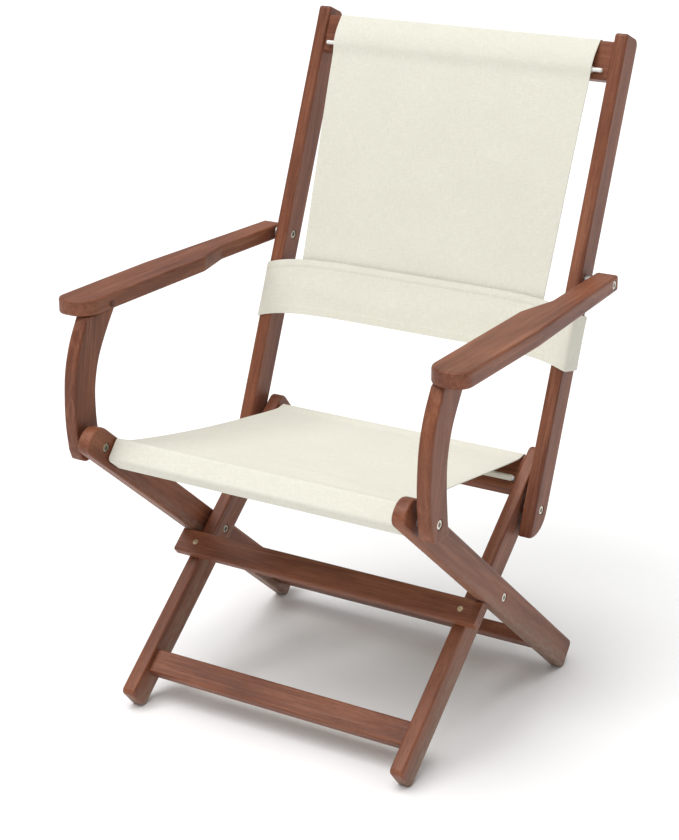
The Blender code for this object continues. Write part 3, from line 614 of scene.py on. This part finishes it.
seat_grid[..., 2] += creases - 0.0006 * ease[:, None]
seat_grid = settle("seat_cloth", seat_grid, ~free_mask, 14, 0.004)


def fine_columns(grid, edge_steps):
    """The grid with its columns placed anew: close together in each side hem, even between them."""
    half = np.linalg.norm(grid[:, -1] - grid[:, 0], axis=1).mean() / 2
    edges = np.array(edge_steps) / half
    inner = np.linspace(-1 + edges[-1] + 0.01, 1 - edges[-1] - 0.01, 61)
    places = np.concatenate([-1 + edges, inner, (1 - edges)[::-1]])
    source = np.linspace(-1, 1, grid.shape[1])
    fine = np.stack([[np.interp(places, source, row[:, axis]) for row in grid] for axis in range(3)], 2)
    return fine, (1 - np.abs(places)) * half


EDGE_STEPS = [0, 0.0004, 0.003, 0.006, HEM - 0.0014, HEM - 0.0002, HEM + 0.003]
seat_fine, from_edge = fine_columns(seat_grid, EDGE_STEPS)
seat_outside = np.full(seat_fine.shape[:2], CLOTH / 2) + hem_step(from_edge)[None, :]
in_slot = np.arange(seat_rows) < len(rail_path) - 8
seat_outside[in_slot] = CLOTH / 2
seat = cloth_sheet("seat_cloth", seat_fine, seat_outside)

# %% [markdown]
# The back panel hangs from the top rail in the same way, then runs down in front of the posts into the
# band that wraps round them. It is pinned at the rail and inside the band, and settles between.

# %% Back panel
BAND_LOW, BAND_HIGH, BAND_ARCH = 0.197, 0.280, 0.016
TOP_SLOT, TOP_EDGE = 0.624, 0.6675
PANEL_LOW_HALF, PANEL_TOP_HALF = 0.2000, 0.2145
top_path, top_rod = slot_path(-0.007, TOP_SLOT, TOP_EDGE)
panel_path = top_path + arc((-0.015, TOP_EDGE - 0.003), 0.003 + SKIN, 90, 160, 8)[1:]
clear_of_hem = top_rod - HEM_RADIUS - CLOTH - MESH_GAP
panel_low = BAND_LOW + BAND_ARCH + 0.006
start_across, start_along = panel_path[-1]
for share in np.linspace(0, 1, 10)[1:]:
    eased = sin(share * pi / 2)
    panel_path.append((start_across + (clear_of_hem - start_across) * eased,
                       start_along + (TOP_SLOT + 0.004 - start_along) * share))
panel_path.append((clear_of_hem, TOP_SLOT))
held_above = len(panel_path)
fall = TOP_SLOT - panel_low
for share in np.linspace(0, 1, 71)[1:]:
    eased = (1 - cos(pi * share)) / 2
    panel_path.append((clear_of_hem + (-0.0155 - clear_of_hem) * eased, TOP_SLOT - fall * share))
panel_along = np.array([along for _, along in panel_path])
panel_share = np.clip((panel_along - panel_low) / (TOP_EDGE - panel_low), 0, 1)
panel_half = PANEL_LOW_HALF + (PANEL_TOP_HALF - PANEL_LOW_HALF) * panel_share
panel_line = np.array([bar_point(BACK_PIVOT, BACK_LEAN, a, b) for a, b in panel_path])
panel_grid = np.empty((len(panel_line), len(even), 3))
panel_grid[..., 0] = panel_half[:, None] * even
panel_grid[..., 1:] = panel_line[:, None, :]
PANEL_CREASES = [(0.020, 0.300, 0.30, 0.160, 0.030, 0.0007), (-0.090, 0.200, -0.25, 0.100, 0.022, 0.0006),
                 (0.110, 0.150, 0.40, 0.080, 0.020, 0.0006), (-0.120, 0.345, 0.55, 0.060, 0.014, 0.0008),
                 (0.130, 0.345, -0.55, 0.060, 0.014, 0.0008), (0.000, 0.060, 0.05, 0.140, 0.018, 0.0005)]
panel_free = (np.arange(len(panel_line)) >= held_above) & (panel_along > BAND_HIGH - 0.02)
panel_run = lengths(panel_line) - lengths(panel_line)[held_above]
panel_ends = np.clip(panel_run / 0.05, 0, 1) * np.clip((panel_along - BAND_HIGH) / 0.05, 0, 1)
panel_ease = np.where(panel_free, panel_ends, 0)
panel_rise = soft_ripple(panel_grid[..., 0], panel_run[:, None], PANEL_CREASES) * panel_ease[:, None]
panel_grid[..., 1] -= panel_rise * cos(BACK_LEAN)
panel_grid[..., 2] += panel_rise * sin(BACK_LEAN)
panel_grid = settle("back_cloth", panel_grid, ~panel_free, 14, 0.003)
panel_fine, panel_from_edge = fine_columns(panel_grid, EDGE_STEPS)
panel_outside = np.full(panel_fine.shape[:2], CLOTH / 2) + hem_step(panel_from_edge)[None, :]
panel_outside[:len(top_path) - 8] = CLOTH / 2
panel_outside[panel_along < BAND_HIGH + 0.02] = CLOTH / 2
panel = cloth_sheet("back_cloth", panel_fine, panel_outside)

# %% [markdown]
# The band is a flat sleeve round both posts. Between them it arches up a little and is pulled slightly
# inwards, front and back, and its top and bottom edges are hemmed.

# %% Band round the posts
BAND_REACH = 0.2585
BAND_DEPTH = 0.0214
BAND_CORNER = 0.0055


def band_loop():
    """The sleeve's middle layer seen from above: (x, across), with close points at the corners."""
    far, deep, turn = BAND_REACH + CLOTH / 2, BAND_DEPTH + CLOTH / 2, BAND_CORNER
    points = []
    for x, across, first in ((far, -deep, -90), (far, deep, 0), (-far, deep, 90), (-far, -deep, 180)):
        centre = (x - turn * (1 if x > 0 else -1), across - turn * (1 if across > 0 else -1))
        points += arc(centre, turn, first, first + 90, 6)
    closed_loop = np.array(points + points[:1])
    total = lengths(closed_loop)[-1]
    spots = np.concatenate([lengths(closed_loop)[:-1], np.arange(0, total, 0.008)])
    spots = np.array(sorted(set(np.round(spots, 6))))
    spots = spots[np.concatenate([[True], np.diff(spots) > 0.0008])]
    return resample(closed_loop, spots[spots < total - 0.0008])


loop = band_loop()
levels = [0, 0.0004, 0.003, 0.006, HEM - 0.0014, HEM - 0.0002]
tall = BAND_HIGH - BAND_LOW
rises = levels + list(np.linspace(HEM + 0.003, tall - HEM - 0.003, 12))
rises += [tall - level for level in levels[::-1]]
band_grid = np.empty((len(rises), len(loop), 3))
arch = BAND_ARCH * np.clip(1 - (np.abs(loop[:, 0]) / BAND_REACH) ** 6, 0, 1)
inward = 0.0016 * np.clip((0.225 - np.abs(loop[:, 0])) / 0.02, 0, 1)
BAND_CREASES = [(0.150, 0.050, 0.10, 0.090, 0.012, 0.0007), (-0.140, 0.036, -0.12, 0.080, 0.012, 0.0007),
                (0.000, 0.030, 0.04, 0.100, 0.016, 0.0005), (-0.215, 0.045, 1.2, 0.016, 0.020, 0.0006)]
for row, rise in enumerate(rises):
    wave = soft_ripple(loop[:, 0], np.full(len(loop), rise), BAND_CREASES)
    across = loop[:, 1] - np.sign(loop[:, 1]) * (inward - np.minimum(wave, inward))
    behind = np.clip(loop[:, 1] / BAND_DEPTH, -1, 1) * 0.5 + 0.5
    lifted = 0.007 * behind * (1 - rise / tall)
    y, z = bar_point(BACK_PIVOT, BACK_LEAN, across, BAND_LOW + rise + arch + lifted)
    band_grid[row] = np.stack([loop[:, 0], y, z], 1)
band_edge = np.minimum(np.array(rises), tall - np.array(rises))
band_outside = np.repeat((CLOTH / 2 + hem_step(band_edge))[:, None], len(loop), 1)
band = cloth_sheet("back_band_cloth", band_grid, band_outside, closed=True)

# %% [markdown]
# A lockstitch seam is one small stitch repeated along a line, which is what Geometry Nodes are for.
# The tree resamples the line to the stitch pitch, puts a small grain-shaped piece of thread on each
# point, turned along the line, and realises them. It is built once, and every seam uses it.

# %% Stitch tree
def new_tree(name, inputs):
    """A geometry tree with a Geometry input and output, and named inputs given as (name, kind, default)."""
    tree = bpy.data.node_groups.new(name, "GeometryNodeTree")
    tree.interface.new_socket("Geometry", in_out="INPUT", socket_type="NodeSocketGeometry")
    identifiers = {}
    for label, kind, default in inputs:
        socket = tree.interface.new_socket(label, in_out="INPUT", socket_type=kind)
        if default is not None:
            socket.default_value = default
        identifiers[label] = socket.identifier
    tree.interface.new_socket("Geometry", in_out="OUTPUT", socket_type="NodeSocketGeometry")
    return tree, identifiers, tree.nodes.new("NodeGroupInput"), tree.nodes.new("NodeGroupOutput")


def add_node(tree, kind, **settings):
    node = tree.nodes.new(kind)
    for name, value in settings.items():
        setattr(node, name, value)
    return node


def join_up(tree, steps):
    """Links each step's first node and output to its second node and input."""
    for source, output, target, socket in steps:
        tree.links.new(source.outputs[output], target.inputs[socket])


stitch_tree, stitch_inputs, given, result = new_tree("stitch_row", [
    ("Pitch", "NodeSocketFloat", 0.0042), ("Stitch Length", "NodeSocketFloat", 0.0030),
    ("Thread Radius", "NodeSocketFloat", 0.00026), ("Thread", "NodeSocketMaterial", None)])
as_curve = add_node(stitch_tree, "GeometryNodeMeshToCurve")
spaced = add_node(stitch_tree, "GeometryNodeResampleCurve", mode="LENGTH")
tangent = add_node(stitch_tree, "GeometryNodeInputTangent")
aligned = add_node(stitch_tree, "FunctionNodeAlignEulerToVector", axis="X")
grain_shape = add_node(stitch_tree, "GeometryNodeMeshUVSphere")
grain_shape.inputs["Segments"].default_value = 6
grain_shape.inputs["Rings"].default_value = 5
grain_shape.inputs["Radius"].default_value = 1.0
half_length = add_node(stitch_tree, "ShaderNodeMath", operation="MULTIPLY")
half_length.inputs[1].default_value = 0.5
stitch_size = add_node(stitch_tree, "ShaderNodeCombineXYZ")
placed = add_node(stitch_tree, "GeometryNodeInstanceOnPoints")
realised = add_node(stitch_tree, "GeometryNodeRealizeInstances")
coloured = add_node(stitch_tree, "GeometryNodeSetMaterial")
print("stitch nodes:", len(stitch_tree.nodes))

# %% [markdown]
# The nodes are now joined in the order that a stitch is made: line, points along it, a grain turned
# and sized on each point, real geometry, then thread. Realising comes last but one, because only real
# geometry survives when the piece is turned into a plain mesh.

# %% Stitch tree, joined up
join_up(stitch_tree, [
    (given, "Geometry", as_curve, "Mesh"),
    (as_curve, "Curve", spaced, "Curve"),
    (given, "Pitch", spaced, "Length"),
    (tangent, "Tangent", aligned, "Vector"),
    (given, "Stitch Length", half_length, 0),
    (half_length, 0, stitch_size, "X"),
    (given, "Thread Radius", stitch_size, "Y"),
    (given, "Thread Radius", stitch_size, "Z"),
    (spaced, "Curve", placed, "Points"),
    (grain_shape, "Mesh", placed, "Instance"),
    (aligned, "Rotation", placed, "Rotation"),
    (stitch_size, "Vector", placed, "Scale"),
    (placed, "Instances", realised, "Geometry"),
    (realised, "Geometry", coloured, "Geometry"),
    (given, "Thread", coloured, "Material"),
    (coloured, "Geometry", result, "Geometry")])
print("stitch tree:", len(stitch_tree.links), "links")

# %% [markdown]
# Each seam line is read off the finished sheet's own grid, a fixed way in from its edge and just above
# the outer layer, so the stitches sit in the cloth wherever the simulation left it.

# %% Seams
def tree_piece(name, lines, tree, identifiers, values):
    """A mesh of open lines run through a tree and turned into a plain mesh."""
    mesh = bpy.data.meshes.new(name)
    points, edges = [], []
    for line in lines:
        start = len(points)
        points += [tuple(point) for point in line]
        edges += [(index, index + 1) for index in range(start, len(points) - 1)]
    mesh.from_pydata(points, edges, [])
    piece = bpy.data.objects.new(name, mesh)
    bpy.context.scene.collection.objects.link(piece)
    modifier = piece.modifiers.new("tree", "NODES")
    modifier.node_group = tree
    for label, value in values.items():
        modifier[identifiers[label]] = value
    apply_modifiers(piece)
    piece.data.shade_smooth()
    return piece


def seam_line(grid, outside, column=None, row=None, rows=None, closed=False):
    """Points just above the outer layer, down one column or along one row."""
    above = grid + grid_normals(grid, closed) * (outside + 0.00012)[..., None]
    line = above[:, column] if column is not None else above[row]
    return line if rows is None else line[rows]


seam_column = 4
seat_seen = slice(len(rail_path) - 7, seat_rows)
seat_seams = [seam_line(seat_fine, seat_outside, column=column, rows=seat_seen)
              for column in (seam_column, seat_fine.shape[1] - 1 - seam_column)]
sewn = {"Thread": thread.material}
seat_stitches = tree_piece("seat_stitches", seat_seams, stitch_tree, stitch_inputs, sewn)
panel_seen = slice(len(top_path) - 7, int(np.flatnonzero(panel_along > BAND_HIGH + 0.02)[-1]))
panel_seams = [seam_line(panel_fine, panel_outside, column=column, rows=panel_seen)
               for column in (seam_column, panel_fine.shape[1] - 1 - seam_column)]
panel_stitches = tree_piece("back_stitches", panel_seams, stitch_tree, stitch_inputs, sewn)
band_seams = []
for row in (4, len(rises) - 5):
    line = seam_line(band_grid, band_outside, row=row, closed=True)
    band_seams.append(np.concatenate([line, line[:1]]))
band_stitches = tree_piece("band_stitches", band_seams, stitch_tree, stitch_inputs, sewn)
print("stitch faces:", [len(piece.data.polygons) for piece in (seat_stitches, panel_stitches, band_stitches)])

# %% [markdown]
# The seat belongs to two bodies at once: its rear end stays with the front legs and its front end with
# the rear legs, so it is blended between them when the legs close. The back cloth rides on the posts.

# %% Cloth on its bodies
seat_start = (0.0, float(rear_part[-1][0]), float(rear_part[-1][1]))
seat_end = (0.0, float(front_part[0][0]), float(front_part[0][1]))
for piece in (seat, seat_stitches):
    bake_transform(piece, "front_legs", "rear_legs", start=seat_start, end=seat_end)
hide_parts("seat_canvas")
for piece in (panel, panel_stitches, band, band_stitches):
    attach(piece, "backrest")
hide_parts("back_panel")
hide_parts("back_band")


def cut_area(line, halves):
    """The flat area of a sheet from its length and its half width at each row."""
    return float(np.trapz(2 * np.asarray(halves), lengths(line)))


print("seat cut area", round(cut_area(seat_line, seat_half), 4), "m2")

# %% [markdown]
# The fittings are plated steel. A metal needs no pattern of its own colour, only a slightly uneven tone
# and roughness, so noise on the object's coordinates drives both, and a finer one scratches the surface.

# %% Metal finishes
def metal(name, light, dark, roughness, scratch):
    finish = Finish(name, roughness, metallic=1.0)
    place = finish.coordinates()
    cloud = finish.noise(place, 260.0, 3.0, 0.6)
    fine = finish.noise(place, 2400.0, 2.0, 0.5)
    plating = finish.mixed(finish.ranged(cloud, 0.35, 0.68), light, dark)
    uneven = finish.ranged(cloud, 0.3, 0.7, roughness - 0.08, roughness + 0.14)
    finish.link(plating, finish.shader.inputs["Base Color"])
    finish.link(uneven, finish.shader.inputs["Roughness"])
    finish.bump(fine, scratch, 0.0002)
    return finish.material


nickel = metal("nickel", (0.70, 0.67, 0.60), (0.48, 0.45, 0.39), 0.30, 0.15)
dull_nickel = metal("dull_nickel", (0.42, 0.39, 0.33), (0.24, 0.22, 0.18), 0.42, 0.20)
brass_screw = metal("pale_brass", (0.72, 0.60, 0.42), (0.50, 0.39, 0.25), 0.38, 0.20)
zinc = metal("zinc_washer", (0.50, 0.49, 0.47), (0.34, 0.33, 0.31), 0.48, 0.25)
print("metals:", nickel.name, brass_screw.name, zinc.name)

# %% [markdown]
# A bolt and its sleeve nut look alike from outside: a round nickel head with a chamfered rim and a hex
# socket. A boolean cut would leave ragged faces, so the head is lofted from rings of points instead,
# with the socket's hexagon given the same number of points as the rim.

# %% Head with a hex socket
RING = 36


def ring(x, radius, sides=0):
    """A ring of points about X; with sides, the points run round a polygon of that inner radius."""
    points = []
    for step in range(RING):
        angle = 2 * pi * step / RING
        far = radius
        if sides:
            part = (angle % (2 * pi / sides)) - pi / sides
            far = radius / cos(part)
        points.append((x, far * cos(angle), far * sin(angle)))
    return points


def loft(name, rings):
    """A closed solid through rings of points, with a fan at each end."""
    work = bmesh.new()
    rows = [[work.verts.new(point) for point in points] for points in rings]
    for one, other in zip(rows, rows[1:]):
        for step in range(RING):
            after = (step + 1) % RING
            work.faces.new([one[step], one[after], other[after], other[step]])
    for row in (rows[0], rows[-1]):
        centre = work.verts.new(sum((vert.co for vert in row), Vector()) / RING)
        for step in range(RING):
            work.faces.new([row[step], row[(step + 1) % RING], centre])
    bmesh.ops.recalc_face_normals(work, faces=work.faces)
    mesh = bpy.data.meshes.new(name)
    work.to_mesh(mesh)
    work.free()
    mesh.shade_smooth()
    mesh.set_sharp_from_angle(angle=radians(35))
    obj = bpy.data.objects.new(name, mesh)
    bpy.context.scene.collection.objects.link(obj)
    return obj


socket_head = loft("socket_head", [
    ring(-0.0030, 0.0064), ring(-0.0007, 0.0064), ring(-0.0002, 0.0061), ring(0.0, 0.0055), ring(0.0, 0.0033),
    ring(-0.0003, 0.0029, 6), ring(-0.0021, 0.0028, 6)])
print("head:", len(socket_head.data.polygons), "faces")

# %% [markdown]
# Each pivot takes the same head, turned to face outwards, with a shank of its own length behind it. A
# tree reads both from attributes on one point for each bolt, so a single head serves all of them.

# %% Pivot tree
pivot_tree, pivot_inputs, given, result = new_tree("pivot_fittings", [
    ("Head", "NodeSocketObject", None), ("Shank Radius", "NodeSocketFloat", 0.0029),
    ("Metal", "NodeSocketMaterial", None)])
head_info = add_node(pivot_tree, "GeometryNodeObjectInfo")
way = add_node(pivot_tree, "GeometryNodeInputNamedAttribute", data_type="FLOAT")
way.inputs["Name"].default_value = "turn"
reach_of = add_node(pivot_tree, "GeometryNodeInputNamedAttribute", data_type="FLOAT")
reach_of.inputs["Name"].default_value = "reach"
facing = add_node(pivot_tree, "ShaderNodeCombineXYZ")
heads = add_node(pivot_tree, "GeometryNodeInstanceOnPoints")
rod_shape = add_node(pivot_tree, "GeometryNodeMeshCylinder")
rod_shape.inputs["Vertices"].default_value = 20
rod_shape.inputs["Depth"].default_value = 1.0
lying = add_node(pivot_tree, "GeometryNodeTransform")
lying.inputs["Rotation"].default_value = (0, radians(90), 0)
lying.inputs["Translation"].default_value = (-0.5, 0, 0)
rod_scale = add_node(pivot_tree, "ShaderNodeCombineXYZ")
rod_scale.inputs["Y"].default_value = 1.0
rod_scale.inputs["Z"].default_value = 1.0
shanks = add_node(pivot_tree, "GeometryNodeInstanceOnPoints")
together = add_node(pivot_tree, "GeometryNodeJoinGeometry")
realised = add_node(pivot_tree, "GeometryNodeRealizeInstances")
coloured = add_node(pivot_tree, "GeometryNodeSetMaterial")
# The shank starts a little way down, under the socket's floor.
cosine = add_node(pivot_tree, "ShaderNodeMath", operation="COSINE")
backwards = add_node(pivot_tree, "ShaderNodeMath", operation="MULTIPLY")
backwards.inputs[1].default_value = -0.0026
offset = add_node(pivot_tree, "ShaderNodeCombineXYZ")
moved = add_node(pivot_tree, "GeometryNodeSetPosition")
print("pivot nodes:", len(pivot_tree.nodes))

# %% [markdown]
# Two branches leave the points: one sets the heads, and one first moves each point inwards and then
# sets the shanks. They meet at the join, and are realised and given their metal together.

# %% Pivot tree, joined up
join_up(pivot_tree, [
    (given, "Head", head_info, "Object"),
    (way, "Attribute", facing, "Z"),
    (given, "Geometry", heads, "Points"),
    (head_info, "Geometry", heads, "Instance"),
    (facing, "Vector", heads, "Rotation"),
    (given, "Shank Radius", rod_shape, "Radius"),
    (rod_shape, "Mesh", lying, "Geometry"),
    (reach_of, "Attribute", rod_scale, "X"),
    (way, "Attribute", cosine, 0),
    (cosine, 0, backwards, 0),
    (backwards, 0, offset, "X"),
    (given, "Geometry", moved, "Geometry"),
    (offset, "Vector", moved, "Offset"),
    (moved, "Geometry", shanks, "Points"),
    (lying, "Geometry", shanks, "Instance"),
    (facing, "Vector", shanks, "Rotation"),
    (rod_scale, "Vector", shanks, "Scale"),
    (heads, "Instances", together, "Geometry"),
    (shanks, "Instances", together, "Geometry"),
    (together, "Geometry", realised, "Geometry"),
    (realised, "Geometry", coloured, "Geometry"),
    (given, "Metal", coloured, "Material"),
    (coloured, "Geometry", result, "Geometry")])
print("pivot tree:", len(pivot_tree.links), "links")

# %% [markdown]
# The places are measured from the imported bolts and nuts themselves, so the heads can't drift from the
# holes. There is one mesh for each body and kind, because a piece can only ride on one body.

# %% Bolts and sleeve nuts
def pivot_fittings(name, body, members, shank, material):
    """One mesh of heads and shanks for the bolts or nuts of a body, placed from their own boxes."""
    points, turns, reaches = [], [], []
    for member in members:
        low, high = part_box(member)
        side = 1 if low.x > 0 else -1
        outwards = side if "_bolt_" in member else -side
        face = high.x if outwards > 0 else low.x
        points.append((face, (low.y + high.y) / 2, (low.z + high.z) / 2))
        turns.append(0.0 if outwards > 0 else pi)
        reaches.append(high.x - low.x - 0.003)
    mesh = bpy.data.meshes.new(name)
    mesh.from_pydata(points, [], [])
    add_attribute(mesh, "turn", turns, "FLOAT")
    add_attribute(mesh, "reach", reaches, "FLOAT")
    piece = bpy.data.objects.new(name, mesh)
    bpy.context.scene.collection.objects.link(piece)
    modifier = piece.modifiers.new("tree", "NODES")
    modifier.node_group = pivot_tree
    modifier[pivot_inputs["Head"]] = socket_head
    modifier[pivot_inputs["Shank Radius"]] = shank
    modifier[pivot_inputs["Metal"]] = material
    apply_modifiers(piece)
    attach(piece, body)
    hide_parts(*members)
    return piece


fitting_count = 0
for body, members in timber_bodies.items():
    for kind, shank, material in (("bolt", 0.0029, nickel), ("nut", 0.0044, dull_nickel)):
        chosen = sorted(name for name in members if f"_{kind}_" in name)
        if chosen:
            pivot_fittings(f"{body}_{kind}s", body, chosen, shank, material)
            fitting_count += len(chosen)
bpy.data.objects.remove(socket_head)
print("bolts and nuts placed:", fitting_count)

# %% [markdown]
# Washers and slat screws already have their visible shape in the frame, so they only take a finish.

# %% Washers and slat screws
for name in sorted(nodes):
    if "_washer_" in name:
        give_material(nodes[name], zinc)
    if name.startswith("slat_screw"):
        give_material(nodes[name], brass_screw)
print("washers and screws finished")

# %% [markdown]
# The canvas is held in each slot by a white plastic rod inside its hem. Its ends stand out beyond the
# cloth, so they are worth a round, softly chamfered form and a slightly uneven satin surface.

# %% White rods
white = Finish("white_rod", 0.38, specular=0.5)
tone = white.noise(white.coordinates(), 90.0, 3.0, 0.6)
white_colour = white.mixed(white.ranged(tone, 0.35, 0.68), (0.80, 0.80, 0.775), (0.72, 0.715, 0.68))
white.link(white_colour, white.shader.inputs["Base Color"])
white.bump(white.noise(white.coordinates(), 1200.0, 2.0), 0.15, 0.0002)
for name, body in (("top_rod", "backrest"), ("rear_seat_rod", "front_legs")):
    low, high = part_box(name)
    half = (high.x - low.x) / 2
    piece = loft(f"white_{name}", [ring(-half, 0.0022), ring(0.0008 - half, 0.0030),
                                   ring(half - 0.0008, 0.0030), ring(half, 0.0022)])
    piece.data.transform(Matrix.Translation((0, (low.y + high.y) / 2, (low.z + high.z) / 2)))
    give_material(piece, white.material)
    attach(piece, body)
    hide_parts(name)
print("rods placed")
